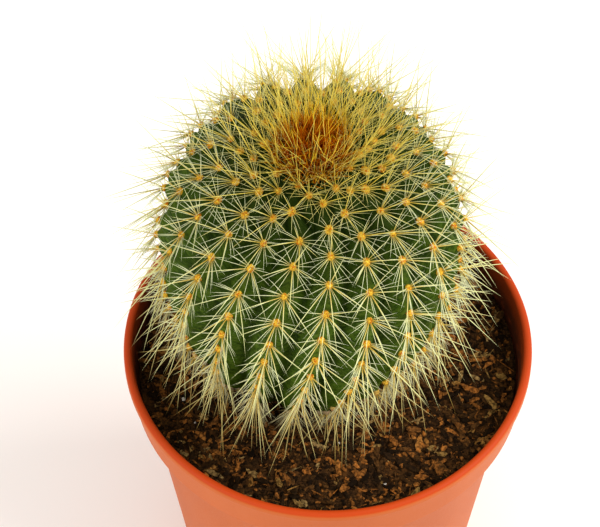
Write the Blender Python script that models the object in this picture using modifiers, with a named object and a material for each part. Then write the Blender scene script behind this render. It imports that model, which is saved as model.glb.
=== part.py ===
"""A round ribbed cactus in a plastic nursery pot.

Metres, +Z up. The origin is the centre of the pot's underside. The plant leans a little to +X and
to -Y, and its ribs run at a slant, as it has grown. The pot is a thin tapered shell with a thick
lip and a stepped collar, the soil is one block that fills it, and the plant stands in a plain
hollow in the soil. The plant's needles are joined to its flesh, and the young bristles on its
crown are one tuft.
"""

import math
import random

import bmesh
import bpy
import numpy as np
from mathutils import Euler, Matrix, Vector, noise

# ---- driving dimensions, metres -------------------------------------------------------------

GAP = 0.0003  # between two pieces that touch

POT_HEIGHT = 0.105
RIM_RADIUS = 0.060  # outside of the lip
LIP_WIDTH = 0.0026
LIP_DEPTH = 0.0032
COLLAR_RADIUS = 0.0592  # outside, just under the lip
COLLAR_FOOT_RADIUS = 0.0579
COLLAR_DEPTH = 0.0155
WALL_TOP_RADIUS = 0.0540  # outside, where the collar steps in
BASE_RADIUS = 0.0438
WALL = 0.0014
FLOOR = 0.0016
FOOT_ROUND = 0.001  # bevel between the wall and the floor
DRAIN_HOLES = 8
DRAIN_RADIUS = 0.0035
DRAIN_CIRCLE = 0.028
POT_SIDES = 56

SOIL_LEVEL = 0.093
SOIL_RELIEF = 0.0013  # half of the height from dips to lumps
SOIL_LUMP = 0.011  # from one lump to the next
SOIL_EDGE = 0.006  # the relief dies out over this width along the pot's wall
SOIL_SIDES = 48
SOIL_RINGS = 8

RIBS = 20
FIRST_RIB = math.radians(12.8)  # turn of the first rib from +X, at the crown
RIB_SLANT = math.radians(-155)  # turn of the ribs for each metre along them
BODY_RADIUS = 0.0427  # to the ridge of a rib, at the waist
BODY_RISE = 0.0450  # from the waist to the crown
BODY_DROP = 0.0690  # from the waist to the foot
BODY_WAIST = Vector((-0.0050, 0.0025, POT_HEIGHT + 0.0495))
BODY_LEAN = Euler((math.radians(3.8), math.radians(3.0), 0.0))
RIB_DEPTH = 0.0058  # ridge to groove at the waist, and in proportion to a rib's width elsewhere
RIB_FADE = 0.020  # length along a rib over which it dies out at the foot
NOTCH = 0.0010  # dip of a ridge between two areoles
CROWN_FLAT = 0.0095  # radius of the flat growing point, under the tuft
CROWN_DIP = 0.0006

AREOLE_STEP = 0.0088  # along a rib; neighbouring ribs are half a step apart
FIRST_AREOLE = 0.0139  # from the crown, along a rib
SOIL_CLEAR = 0.016  # along a rib, from the lowest areole to the soil at least

# An areole's needles as (turn from straight down the rib, lean from upright, length). The rows of
# areoles take the two plans in turn.
NEEDLE_PLANS = (
    ((0, 54, 0.0165), (115, 48, 0.0120), (-115, 48, 0.0120)),
    ((180, 26, 0.0145), (62, 58, 0.0130), (-62, 58, 0.0130)),
)
NEEDLE_RADIUS = 0.00042
NEEDLE_ROOT = 0.0012  # sunk into what it grows from
ROOT_SPREAD = 0.0012  # from an areole's centre to its needles' roots
TURN_SCATTER = 14  # degrees
LEAN_SCATTER = 9  # degrees
LENGTH_SCATTER = 0.13

TUFT_RADIUS = 0.0070
TUFT_PLACE = Vector((-0.0012, -0.0018, 0.0))  # from the plant's axis
TUFT_HEIGHT = 0.0034
TUFT_BRISTLES = 118
BRISTLE_LENGTH = 0.0150
BRISTLE_RADIUS = 0.00036
INNER_LEAN = 6  # degrees from upright, in the middle of the tuft
OUTER_LEAN = 52  # and at its edge
ROOT_REACH = 0.92  # the outermost roots, as a share of the tuft's radius
SEED = 7


# ---- small helpers --------------------------------------------------------------------------

def material(name, color, roughness):
    """A Principled material with an RGB colour."""
    made = bpy.data.materials.new(name)
    made.use_nodes = True
    shader = made.node_tree.nodes["Principled BSDF"]
    shader.inputs["Base Color"].default_value = (*color, 1.0)
    shader.inputs["Roughness"].default_value = roughness
    made.diffuse_color = (*color, 1.0)
    return made


def collection(name, guide=False):
    made = bpy.data.collections.new(name)
    made.hide_render = guide
    bpy.context.scene.collection.children.link(made)
    return made


def add(name, mesh, home, matrix=None, guide=False):
    """An object for a mesh, in a collection. A guide is drawn as wire and isn't part of the model."""
    made = bpy.data.objects.new(name, mesh)
    made.matrix_world = matrix or Matrix()
    home.objects.link(made)
    if guide:
        made.hide_render = True
        made.display_type = "WIRE"
    return made


def bake(obj):
    """Applies an object's modifiers."""
    bpy.context.view_layer.update()
    graph = bpy.context.evaluated_depsgraph_get()
    obj.data = bpy.data.meshes.new_from_object(obj.evaluated_get(graph))
    obj.modifiers.clear()


def turned(name, profile, sides, home, **options):
    """A profile of (radius, height) points turned around Z. Its ends lie on the axis."""
    mesh = bpy.data.meshes.new(name)
    points = [(radius, 0.0, height) for radius, height in profile]
    mesh.from_pydata(points, [(i, i + 1) for i in range(len(points) - 1)], [])
    made = add(name, mesh, home, **options)
    screw = made.modifiers.new("turn", "SCREW")
    screw.steps = screw.render_steps = sides
    screw.use_merge_vertices = True
    screw.merge_threshold = 0.00001
    screw.use_smooth_shade = True
    bake(made)
    return made


def boolean(target, operation, other):
    """Joins or cuts with an object or a collection, applies it, and removes what was used."""
    step = target.modifiers.new(operation.lower(), "BOOLEAN")
    step.operation = operation
    if isinstance(other, bpy.types.Collection):
        step.operand_type = "COLLECTION"
        step.collection = other
        used = list(other.objects)
    else:
        step.object = other
        used = [other]
    bake(target)
    for obj in used:
        bpy.data.objects.remove(obj)


def shade(obj, degrees, slot):
    obj.data.materials.clear()
    obj.data.materials.append(slot)
    obj.data.shade_smooth()
    obj.data.set_sharp_from_angle(angle=math.radians(degrees))


# ---- the plant's form -----------------------------------------------------------------------

BODY_PLACE = Matrix.Translation(BODY_WAIST) @ BODY_LEAN.to_matrix().to_4x4()


def meridian():
    """(length along the outline from the crown, radius, height over the waist), finely stepped."""
    angle = np.linspace(0.0, math.pi, 2001)
    rise = np.where(angle < math.pi / 2, BODY_RISE, BODY_DROP)
    radius = BODY_RADIUS * np.sin(angle)
    height = rise * np.cos(angle)
    length = np.concatenate([[0.0], np.cumsum(np.hypot(np.diff(radius), np.diff(height)))])
    return length, radius, height


LENGTH, RADIUS, HEIGHT = meridian()
FOOT_LENGTH = float(LENGTH[-1])


def outline(along):
    """Radius and height of the smooth outline at a length along it from the crown."""
    return float(np.interp(along, LENGTH, RADIUS)), float(np.interp(along, LENGTH, HEIGHT))


def rib_turn(rib, along):
    """Turn of a rib from +X, at a length along it from the crown: the ribs run at a slant."""
    return FIRST_RIB + rib * math.tau / RIBS + RIB_SLANT * along


def soil_line():
    """Length along the outline at which the plant goes into the soil."""
    drop = (BODY_WAIST.z - SOIL_LEVEL) / math.cos(BODY_LEAN.y)
    return float(np.interp(drop, -HEIGHT, LENGTH))


SOIL_LINE = soil_line()


def rib_fade(along):
    """1 over most of the plant, falling to 0 at the soil."""
    return min(1.0, max(0.0, (SOIL_LINE - along) / RIB_FADE))


def normal(along):
    """The outline's outward normal, as (radius, height)."""
    radius, height = outline(along)
    next_radius, next_height = outline(along + 0.0005)
    steps = math.hypot(next_radius - radius, next_height - height)
    return (height - next_height) / steps, (next_radius - radius) / steps


def areoles():
    """(row, place, outward, downward) of every areole, in the plant's own frame."""
    found = []
    for rib in range(RIBS):
        # Every second rib starts half a step nearer the crown.
        along = FIRST_AREOLE + (0.0 if rib % 2 else AREOLE_STEP / 2)
        row = 0
        while along < SOIL_LINE - SOIL_CLEAR:
            turn = rib_turn(rib, along)
            spoke = Vector((math.cos(turn), math.sin(turn), 0.0))
            radius, height = outline(along)
            level, upright = normal(along)
            out = Vector((spoke.x * level, spoke.y * level, upright))
            down = Vector((spoke.x * upright, spoke.y * upright, -level))
            found.append((row, Vector((spoke.x * radius, spoke.y * radius, height)), out, down))
            along += AREOLE_STEP
            row += 1
    return found


def kept_clear(root, direction, length):
    """Bends a needle up until its tip clears the soil, the pot's wall and the lip."""
    for _ in range(40):
        tip = BODY_PLACE @ (root + direction * length)
        spread = math.hypot(tip.x, tip.y)
        over_soil = tip.z > SOIL_LEVEL + SOIL_RELIEF + 0.002
        over_rim = tip.z > POT_HEIGHT + 0.0015
        if over_soil and (over_rim or spread < WALL_TOP_RADIUS):
            return direction
        direction = (direction + Vector((0.0, 0.0, 0.08))).normalized()
    return direction


def add_needle(home, root, direction, length, radius, draw):
    """A three-sided needle that points along a direction in the plant's frame, its root sunk in."""
    mesh = bpy.data.meshes.new("needle")
    work = bmesh.new()
    whole = length + NEEDLE_ROOT
    bmesh.ops.create_cone(work, cap_ends=True, segments=3, radius1=radius, radius2=0.0, depth=whole)
    bmesh.ops.translate(work, verts=work.verts, vec=(0, 0, whole / 2 - NEEDLE_ROOT))
    work.to_mesh(mesh)
    work.free()
    aim = direction.to_track_quat("Z", "Y").to_matrix().to_4x4()
    spin = Matrix.Rotation(draw.uniform(0, math.tau), 4, "Z")
    add("needle", mesh, home, matrix=BODY_PLACE @ Matrix.Translation(root) @ aim @ spin, guide=True)


# ---- pieces ---------------------------------------------------------------------------------

def make_pot(home, guides, slot):
    lip_round = LIP_WIDTH / 2
    ledge = POT_HEIGHT - COLLAR_DEPTH
    # Up the inside, over the round lip, and down the outside.
    profile = [
        (0.0, FLOOR),
        (BASE_RADIUS - WALL - FOOT_ROUND, FLOOR),
        (BASE_RADIUS - WALL, FLOOR + FOOT_ROUND),
        (WALL_TOP_RADIUS - WALL, ledge + WALL),
        (COLLAR_FOOT_RADIUS - WALL, ledge + WALL),
    ]
    for degrees in (180, 135, 90, 45, 0):
        angle = math.radians(degrees)
        profile.append((
            RIM_RADIUS - lip_round + lip_round * math.cos(angle),
            POT_HEIGHT - lip_round + lip_round * math.sin(angle),
        ))
    profile += [
        (RIM_RADIUS, POT_HEIGHT - LIP_DEPTH),
        (COLLAR_RADIUS, POT_HEIGHT - LIP_DEPTH),
        (COLLAR_FOOT_RADIUS, ledge),
        (WALL_TOP_RADIUS, ledge),
        (BASE_RADIUS, FOOT_ROUND),
        (BASE_RADIUS - FOOT_ROUND, 0.0),
        (0.0, 0.0),
    ]
    pot = turned("pot", profile, POT_SIDES, home)
    for number in range(DRAIN_HOLES):
        angle = (number + 0.5) * math.tau / DRAIN_HOLES
        place = Matrix.Translation((DRAIN_CIRCLE * math.cos(angle), DRAIN_CIRCLE * math.sin(angle), 0.0))
        mesh = bpy.data.meshes.new("drain")
        work = bmesh.new()
        bmesh.ops.create_cone(work, cap_ends=True, segments=12, radius1=DRAIN_RADIUS,
                              radius2=DRAIN_RADIUS, depth=4 * FLOOR)
        work.to_mesh(mesh)
        work.free()
        add("drain", mesh, guides, matrix=place, guide=True)
    boolean(pot, "DIFFERENCE", guides)
    shade(pot, 35, slot)


def make_soil(home, guides, slot):
    ledge = POT_HEIGHT - COLLAR_DEPTH + WALL + GAP
    edge = COLLAR_FOOT_RADIUS - WALL - 2 * GAP
    # From the middle of the top out over its rings, then down the side and in below.
    profile = [(edge * ring / SOIL_RINGS, SOIL_LEVEL) for ring in range(SOIL_RINGS + 1)]
    profile += [
        (edge, ledge),
        (WALL_TOP_RADIUS - WALL - GAP, ledge),
        (BASE_RADIUS - WALL - GAP, FLOOR + FOOT_ROUND + GAP),
        (BASE_RADIUS - WALL - FOOT_ROUND - GAP, FLOOR + GAP),
        (0.0, FLOOR + GAP),
    ]
    soil = turned("soil", profile, SOIL_SIDES, home)
    for vertex in soil.data.vertices:
        if vertex.co.z < SOIL_LEVEL - GAP:
            continue
        lump = 2 * noise.noise(vertex.co / SOIL_LUMP)
        from_edge = edge - math.hypot(vertex.co.x, vertex.co.y)
        vertex.co.z += SOIL_RELIEF * max(-1.0, min(1.0, lump)) * min(1.0, from_edge / SOIL_EDGE)
    # The hollow in which the plant stands: the plant's own outline, one gap wider.
    wider, deeper = 1 + GAP / BODY_RADIUS, 1 + GAP / BODY_DROP
    hollow = [(RADIUS[step] * wider, HEIGHT[step] * deeper) for step in range(1200, 2000, 50)]
    hollow = [(0.0, hollow[0][1]), *hollow, (0.0, HEIGHT[-1] * deeper)]
    cutter = turned("hollow", hollow, 2 * RIBS, guides, matrix=BODY_PLACE, guide=True)
    boolean(soil, "DIFFERENCE", cutter)
    shade(soil, 50, slot)


def make_cactus(home, guides, slot):
    half = AREOLE_STEP / 2
    rings = math.ceil((FOOT_LENGTH - FIRST_AREOLE) / half) + 3
    stops = [0.0, CROWN_FLAT, CROWN_FLAT + 0.001]
    stops += [min(FOOT_LENGTH, FIRST_AREOLE + number * half) for number in range(rings - 2)]
    mesh = bpy.data.meshes.new("cactus")
    work = bmesh.new()
    bmesh.ops.create_uvsphere(work, u_segments=2 * RIBS, v_segments=rings, radius=1.0)
    for vertex in work.verts:
        ring = round(math.acos(max(-1.0, min(1.0, vertex.co.z))) / math.pi * rings)
        column = round(math.atan2(vertex.co.y, vertex.co.x) / math.tau * 2 * RIBS) % (2 * RIBS)
        along = stops[ring]
        turn = rib_turn(column / 2, along)
        radius, height = outline(along)
        if ring > 2:
            on_areole = (ring - 3 + column // 2) % 2
            sunk = RIB_DEPTH * radius / BODY_RADIUS if column % 2 else NOTCH * (1 - on_areole)
            level, upright = normal(along) if ring < rings else (0.0, 0.0)
            radius -= sunk * rib_fade(along) * level
            height -= sunk * rib_fade(along) * upright
        elif ring < 2:
            height = outline(CROWN_FLAT)[1] - CROWN_DIP
        vertex.co = (radius * math.cos(turn), radius * math.sin(turn), height)
    bmesh.ops.triangulate(work, faces=work.faces)
    work.to_mesh(mesh)
    work.free()
    cactus = add("cactus", mesh, home, matrix=BODY_PLACE)
    draw = random.Random(SEED)
    for row, place, out, down in areoles():
        side = out.cross(down)
        crowded = row == 0
        for turn, lean, length in NEEDLE_PLANS[row % 2][crowded:]:
            turn = math.radians(turn + draw.uniform(-TURN_SCATTER, TURN_SCATTER))
            lean = math.radians(lean + draw.uniform(-LEAN_SCATTER, LEAN_SCATTER))
            length *= 1 + draw.uniform(-LENGTH_SCATTER, LENGTH_SCATTER)
            across = down * math.cos(turn) + side * math.sin(turn)
            direction = kept_clear(place, out * math.cos(lean) + across * math.sin(lean), length)
            root = place + across * ROOT_SPREAD - out * ROOT_SPREAD * abs(math.sin(turn))
            add_needle(guides, root, direction, length, NEEDLE_RADIUS, draw)
    boolean(cactus, "UNION", guides)
    shade(cactus, 40, slot)


def make_crown_tuft(home, guides, slot):
    """Young bristles, standing in a brush on a low cushion that sits in the dip of the crown."""
    mesh = bpy.data.meshes.new("crown_tuft")
    seat = outline(CROWN_FLAT)[1] - CROWN_DIP + GAP
    work = bmesh.new()
    bmesh.ops.create_uvsphere(work, u_segments=16, v_segments=8, radius=1.0)
    for vertex in work.verts:
        vertex.co.x = TUFT_PLACE.x + TUFT_RADIUS * vertex.co.x
        vertex.co.y = TUFT_PLACE.y + TUFT_RADIUS * vertex.co.y
        vertex.co.z = seat + TUFT_HEIGHT * max(0.0, vertex.co.z)
    work.to_mesh(mesh)
    work.free()
    tuft = add("crown_tuft", mesh, home, matrix=BODY_PLACE)
    draw = random.Random(SEED + 1)
    golden = math.pi * (3 - math.sqrt(5))
    for number in range(TUFT_BRISTLES):
        share = math.sqrt((number + 0.5) / TUFT_BRISTLES)
        turn = number * golden
        spoke = Vector((math.cos(turn), math.sin(turn), 0.0))
        root = TUFT_PLACE + spoke * share * TUFT_RADIUS * ROOT_REACH
        root.z = seat + TUFT_HEIGHT * math.sqrt(1 - (share * ROOT_REACH) ** 2)
        lean = INNER_LEAN + (OUTER_LEAN - INNER_LEAN) * share ** 1.4
        lean = math.radians(lean + draw.uniform(-LEAN_SCATTER, LEAN_SCATTER))
        direction = Vector((0, 0, math.cos(lean))) + spoke * math.sin(lean)
        length = BRISTLE_LENGTH * (1 + draw.uniform(-LENGTH_SCATTER, LENGTH_SCATTER))
        add_needle(guides, root, direction, length, BRISTLE_RADIUS, draw)
    boolean(tuft, "UNION", guides)
    shade(tuft, 40, slot)


# ---- assembly -------------------------------------------------------------------------------

for old in list(bpy.data.objects):
    bpy.data.objects.remove(old)

parts = collection("potted_round_cactus")
helpers = collection("guides", guide=True)

make_pot(parts, helpers, material("terracotta_plastic", (0.56, 0.13, 0.045), 0.5))
make_soil(parts, helpers, material("potting_soil", (0.045, 0.026, 0.016), 0.95))
make_cactus(parts, helpers, material("cactus_flesh_and_needles", (0.16, 0.21, 0.05), 0.55))
make_crown_tuft(parts, helpers, material("young_bristles", (0.62, 0.27, 0.03), 0.6))
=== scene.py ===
"""A round ribbed cactus with golden spines, in a terracotta-coloured plastic nursery pot."""

import math

import bmesh
import bpy
from mathutils import Euler, Matrix, Vector


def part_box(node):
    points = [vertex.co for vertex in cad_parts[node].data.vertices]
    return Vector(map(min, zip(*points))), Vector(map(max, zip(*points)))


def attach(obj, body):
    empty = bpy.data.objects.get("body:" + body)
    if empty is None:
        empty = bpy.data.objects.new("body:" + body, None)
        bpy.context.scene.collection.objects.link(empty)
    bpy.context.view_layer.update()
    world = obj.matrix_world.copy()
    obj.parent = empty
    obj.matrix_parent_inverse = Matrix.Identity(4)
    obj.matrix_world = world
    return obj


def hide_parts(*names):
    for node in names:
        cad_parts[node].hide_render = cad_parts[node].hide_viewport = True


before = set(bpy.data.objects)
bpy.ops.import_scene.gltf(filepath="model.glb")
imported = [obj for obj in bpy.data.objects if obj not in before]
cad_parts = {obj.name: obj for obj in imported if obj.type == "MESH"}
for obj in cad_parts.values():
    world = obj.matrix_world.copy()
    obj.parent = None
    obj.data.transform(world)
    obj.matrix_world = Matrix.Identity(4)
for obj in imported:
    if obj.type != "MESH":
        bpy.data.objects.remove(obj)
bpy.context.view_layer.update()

# ---- the viewpoint --------------------------------------------------------------------------
# A long lens looks down on the plant from the front, so that the crown shows and the pot's foot
# falls below the picture.
POT_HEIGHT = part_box("pot")[1].z
VIEW_DISTANCE = 0.8  # from the middle of the pot's rim
VIEW_RISE = math.radians(55.14)
AIM_TURN = math.radians(1.01)
AIM_TILT = math.radians(90.0 - 53.51)
AIM_ROLL = math.radians(-0.24)
LENS_LENGTH, SENSOR_WIDTH = 163.36, 36.0
camera = bpy.data.objects.new("camera", bpy.data.cameras.new("camera"))
camera.data.sensor_width = SENSOR_WIDTH
camera.data.lens = LENS_LENGTH
camera.location = (0.0, -VIEW_DISTANCE * math.cos(VIEW_RISE),
                   POT_HEIGHT + VIEW_DISTANCE * math.sin(VIEW_RISE))
camera.rotation_euler = (Matrix.Rotation(AIM_TURN, 3, "Z") @ Matrix.Rotation(AIM_TILT, 3, "X")
                         @ Matrix.Rotation(AIM_ROLL, 3, "Z")).to_euler()
bpy.context.scene.collection.objects.link(camera)
bpy.context.scene.camera = camera

# ---- table and studio light -----------------------------------------------------------------
# A plain off-white table top. Soft light comes from all round, and a little more from wide
# softboxes over the right and the front left.
TABLE_SIZE = 4.0
ROOM_LIGHT = 0.68
bpy.context.scene.view_settings.view_transform = "Standard"
table_paint = bpy.data.materials.new("table_paint")
table_paint.use_nodes = True
table_shader = table_paint.node_tree.nodes["Principled BSDF"]
table_shader.inputs["Base Color"].default_value = (0.955, 0.91, 0.86, 1.0)
table_shader.inputs["Roughness"].default_value = 0.7
table_mesh = bpy.data.meshes.new("table")
table_form = bmesh.new()
bmesh.ops.create_grid(table_form, x_segments=1, y_segments=1, size=TABLE_SIZE / 2)
table_form.to_mesh(table_mesh)
table_form.free()
table_mesh.materials.append(table_paint)
table = bpy.data.objects.new("table", table_mesh)
bpy.context.scene.collection.objects.link(table)

room = bpy.data.worlds.new("room")
room.use_nodes = True
room.node_tree.nodes["Background"].inputs["Color"].default_value = (1.0, 1.0, 1.0, 1.0)
room.node_tree.nodes["Background"].inputs["Strength"].default_value = ROOM_LIGHT
bpy.context.scene.world = room


def softbox(name, place, aim, size, power, tint):
    """A square area light that looks from a place to an aim."""
    lamp = bpy.data.lights.new(name, "AREA")
    lamp.size = size
    lamp.energy = power
    lamp.color = tint
    made = bpy.data.objects.new(name, lamp)
    made.location = place
    made.rotation_euler = (Vector(aim) - Vector(place)).to_track_quat("-Z", "Y").to_euler()
    bpy.context.scene.collection.objects.link(made)


softbox("softbox_right", (0.85, -0.12, 0.85), (0.0, 0.0, 0.12), 0.9, 15.5, (1.0, 0.99, 0.97))
softbox("softbox_left", (-0.85, -0.60, 0.75), (0.0, 0.0, 0.12), 0.7, 8.5, (1.0, 0.99, 0.98))

# ---- pot ------------------------------------------------------------------------------------
# A thin tapered nursery pot, injection moulded in terracotta-coloured plastic: a thick rolled
# lip, a collar that steps in to the wall, and eight drain holes in its floor.
LIP_RADIUS = 0.060
LIP_WIDTH = 0.0026
LIP_DEPTH = 0.0032
LIP_EDGE = 0.0005
COLLAR_RADIUS = 0.0592
COLLAR_FOOT_RADIUS = 0.0579
COLLAR_DEPTH = 0.0155
COLLAR_ROUND = 0.0006
FILLET = 0.0004  # in the corners under the lip and under the collar
WALL_TOP_RADIUS = 0.0540
POT_FOOT_RADIUS = 0.0438
POT_WALL = 0.0014
POT_FLOOR = 0.0016
FOOT_ROUND = 0.001
FLOOR_RINGS = (0.012, 0.034)  # edges of the faces that the drain holes are cut in
DRAIN_HOLES = 8
DRAIN_RADIUS = 0.0035
DRAIN_CIRCLE = 0.028
DRAIN_SIDES = 32
POT_SIDES = 192
SOIL_LEVEL = 0.093  # how high the pot is filled


class Wire:
    """A socket that sums are written on: each sum adds its Math or Vector Math node."""

    def __init__(self, bench, socket):
        self.bench, self.socket = bench, socket

    def __add__(self, other):
        return self.bench.sum("ADD", self, other)

    def __sub__(self, other):
        return self.bench.sum("SUBTRACT", self, other)

    def __rsub__(self, other):
        return self.bench.sum("SUBTRACT", other, self)

    def __mul__(self, other):
        return self.bench.sum("MULTIPLY", self, other)

    def __truediv__(self, other):
        return self.bench.sum("DIVIDE", self, other)

    def __rtruediv__(self, other):
        return self.bench.sum("DIVIDE", other, self)

    def __pow__(self, other):
        return self.bench.sum("POWER", self, other)

    def __neg__(self):
        return self.bench.sum("MULTIPLY", self, -1.0)

    def __gt__(self, other):
        return self.bench.sum("GREATER_THAN", self, other)

    def __lt__(self, other):
        return self.bench.sum("LESS_THAN", self, other)

    __radd__, __rmul__ = __add__, __mul__

    def ramp(self, low, high):
        """0 below low and 1 above high, with a soft change between them. Low may be the larger."""
        return self.bench.add("ShaderNodeMapRange", {"interpolation_type": "SMOOTHSTEP"},
                              self, low, high, 0.0, 1.0)


class Bench:
    """Where the nodes of one material or one geometry tree are put together."""

    def __init__(self, tree):
        self.tree = tree

    def join(self, value, socket):
        """Sets a socket to a value, or links a wire to it."""
        if isinstance(value, Wire):
            self.tree.links.new(value.socket, socket)
        elif socket.type == "RGBA" and len(value) == 3:
            socket.default_value = (*value, 1.0)
        elif socket.type == "VECTOR" and isinstance(value, (int, float)):
            socket.default_value = (value,) * 3
        else:
            socket.default_value = value

    def add(self, kind, settings=None, *values, out=None, **named):
        """Adds a node: its settings, then the values or wires of its sockets, in order or by name."""
        node = self.tree.nodes.new(kind)
        for key, value in (settings or {}).items():
            if key == "stops":
                while len(node.color_ramp.elements) < len(value):
                    node.color_ramp.elements.new(0.5)
                for stop, (place, color) in zip(node.color_ramp.elements, value):
                    stop.position, stop.color = place, (*color, 1.0)
            else:
                setattr(node, key, value)
        sockets = [socket for socket in node.inputs if socket.enabled]
        for socket, value in zip(sockets, values):
            if value is not None:
                self.join(value, socket)
        for name, value in named.items():
            self.join(value, next(s for s in sockets if s.name.replace(" ", "_") == name))
        outputs = [socket for socket in node.outputs if socket.enabled]
        if isinstance(out, tuple):
            return [Wire(self, next(s for s in outputs if s.name == name)) for name in out]
        return Wire(self, next(s for s in outputs if out in (None, s.name)))

    def sum(self, operation, *values):
        """A sum on numbers, or on vectors where one of the values is a vector or a colour."""
        kinds = [value.socket.type if isinstance(value, Wire) else type(value) for value in values]
        arrows = any(kind in (tuple, "VECTOR", "RGBA") for kind in kinds)
        return (self.arrow if arrows else self.math)(operation, *values)

    def math(self, operation, *values):
        return self.add("ShaderNodeMath", {"operation": operation}, *values)

    def arrow(self, operation, *values):
        return self.add("ShaderNodeVectorMath", {"operation": operation}, *values)

    def vector(self, x, y, z):
        return self.add("ShaderNodeCombineXYZ", None, x, y, z)

    def parts(self, vector):
        """A vector's x, y and z."""
        return self.add("ShaderNodeSeparateXYZ", None, vector, out=("X", "Y", "Z"))

    def blend(self, share, first, second):
        """Mixes two colours."""
        return self.add("ShaderNodeMix", {"data_type": "RGBA"}, share, first, second)

    def grain(self, place, size, detail=2.0, roughness=0.5, out="Fac"):
        """Noise whose lumps are about a size across."""
        return self.add("ShaderNodeTexNoise", None, place, Scale=1.0 / size, Detail=detail,
                        Roughness=roughness, out=out)


class Finish(Bench):
    """The bench of a new material."""

    def __init__(self, name):
        self.material = bpy.data.materials.new(name)
        self.material.use_nodes = True
        super().__init__(self.material.node_tree)

    def place(self):
        """Where a point of the surface is."""
        return self.add("ShaderNodeTexCoord", None, out="Object")

    def mark(self, name):
        """A value that the mesh carries under a name."""
        return self.add("ShaderNodeAttribute", {"attribute_name": name}, out="Fac")

    def bump(self, strength, distance, height):
        return self.add("ShaderNodeBump", None, Strength=strength, Distance=distance, Height=height)

    def made(self, **values):
        """The material, with values or wires on its shader's sockets."""
        for name, value in values.items():
            self.join(value, self.tree.nodes["Principled BSDF"].inputs[name.replace("_", " ")])
        return self.material


def shown(name, mesh):
    """A new object with a mesh, in the scene."""
    made = bpy.data.objects.new(name, mesh)
    bpy.context.scene.collection.objects.link(made)
    return made


def settled(obj):
    """Turns an object's modifiers into plain mesh."""
    graph = bpy.context.evaluated_depsgraph_get()
    obj.data = bpy.data.meshes.new_from_object(obj.evaluated_get(graph))
    obj.modifiers.clear()


def turned(name, profile, sides):
    """A closed piece turned from a profile of (radius, height) points, with its ends on the axis."""
    points, rings = [], []
    for radius, height in profile:
        turns = [math.tau * step / sides for step in range(sides if radius > 0 else 1)]
        rings.append(range(len(points), len(points) + len(turns)))
        points += [(radius * math.cos(turn), radius * math.sin(turn), height) for turn in turns]
    faces = []
    for ring, after in zip(rings, rings[1:]):
        for step in range(sides):
            corners = [(ring, step), (ring, step + 1), (after, step + 1), (after, step)]
            # On the axis a ring is one point, and the face has three corners.
            faces.append(tuple(dict.fromkeys(where[number % len(where)] for where, number in corners)))
    mesh = bpy.data.meshes.new(name)
    mesh.from_pydata(points, [], faces)
    form = bmesh.new()
    form.from_mesh(mesh)
    bmesh.ops.recalc_face_normals(form, faces=form.faces)
    form.to_mesh(mesh)
    form.free()
    return shown(name, mesh)


def cut(target, cutter):
    """Cuts a piece by another, which is used up."""
    step = target.modifiers.new("cut", "BOOLEAN")
    step.object = cutter
    step.operation = "DIFFERENCE"
    settled(target)
    bpy.data.objects.remove(cutter)


def arc(centre, radius, first, last, steps):
    """Points along a round from one angle to another, in degrees."""
    turns = [math.radians(first + (last - first) * step / steps) for step in range(steps + 1)]
    return [(centre[0] + radius * math.cos(turn), centre[1] + radius * math.sin(turn)) for turn in turns]


ledge = POT_HEIGHT - COLLAR_DEPTH
lip_round = LIP_WIDTH / 2
pot_profile = [(0.0, POT_FLOOR)] + [(ring, POT_FLOOR) for ring in FLOOR_RINGS]
pot_profile += arc((POT_FOOT_RADIUS - POT_WALL - FOOT_ROUND, POT_FLOOR + FOOT_ROUND), FOOT_ROUND,
                   -90, -8, 4)
pot_profile += [
    (WALL_TOP_RADIUS - POT_WALL, ledge + POT_WALL - COLLAR_ROUND),
    (WALL_TOP_RADIUS - POT_WALL + COLLAR_ROUND, ledge + POT_WALL),
    (COLLAR_FOOT_RADIUS - POT_WALL - COLLAR_ROUND, ledge + POT_WALL),
    (COLLAR_FOOT_RADIUS - POT_WALL, ledge + POT_WALL + COLLAR_ROUND),
]
pot_profile += arc((LIP_RADIUS - lip_round, POT_HEIGHT - lip_round), lip_round, 180, 0, 12)
pot_profile += arc((LIP_RADIUS - LIP_EDGE, POT_HEIGHT - LIP_DEPTH + LIP_EDGE), LIP_EDGE, 0, -90, 3)
pot_profile += [
    (COLLAR_RADIUS, POT_HEIGHT - LIP_DEPTH),
    (COLLAR_RADIUS - FILLET / 4, POT_HEIGHT - LIP_DEPTH - FILLET),
]
pot_profile += arc((COLLAR_FOOT_RADIUS - COLLAR_ROUND, ledge + COLLAR_ROUND), COLLAR_ROUND, 0, -90, 4)
pot_profile += [(WALL_TOP_RADIUS + FILLET, ledge), (WALL_TOP_RADIUS, ledge - FILLET)]
pot_profile += arc((POT_FOOT_RADIUS - FOOT_ROUND, FOOT_ROUND), FOOT_ROUND, 0, -90, 4)
pot_profile += [(ring, 0.0) for ring in reversed(FLOOR_RINGS)] + [(0.0, 0.0)]
pot = turned("nursery_pot", pot_profile, POT_SIDES)
for number in range(DRAIN_HOLES):
    turn = (number + 0.5) * math.tau / DRAIN_HOLES
    drain = turned("drain", [(0, 3 * POT_FLOOR), (DRAIN_RADIUS, 3 * POT_FLOOR),
                             (DRAIN_RADIUS, -POT_FLOOR), (0, -POT_FLOOR)], DRAIN_SIDES)
    middle = (DRAIN_CIRCLE * math.cos(turn), DRAIN_CIRCLE * math.sin(turn), 0)
    drain.data.transform(Matrix.Translation(middle))
    cut(pot, drain)

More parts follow.
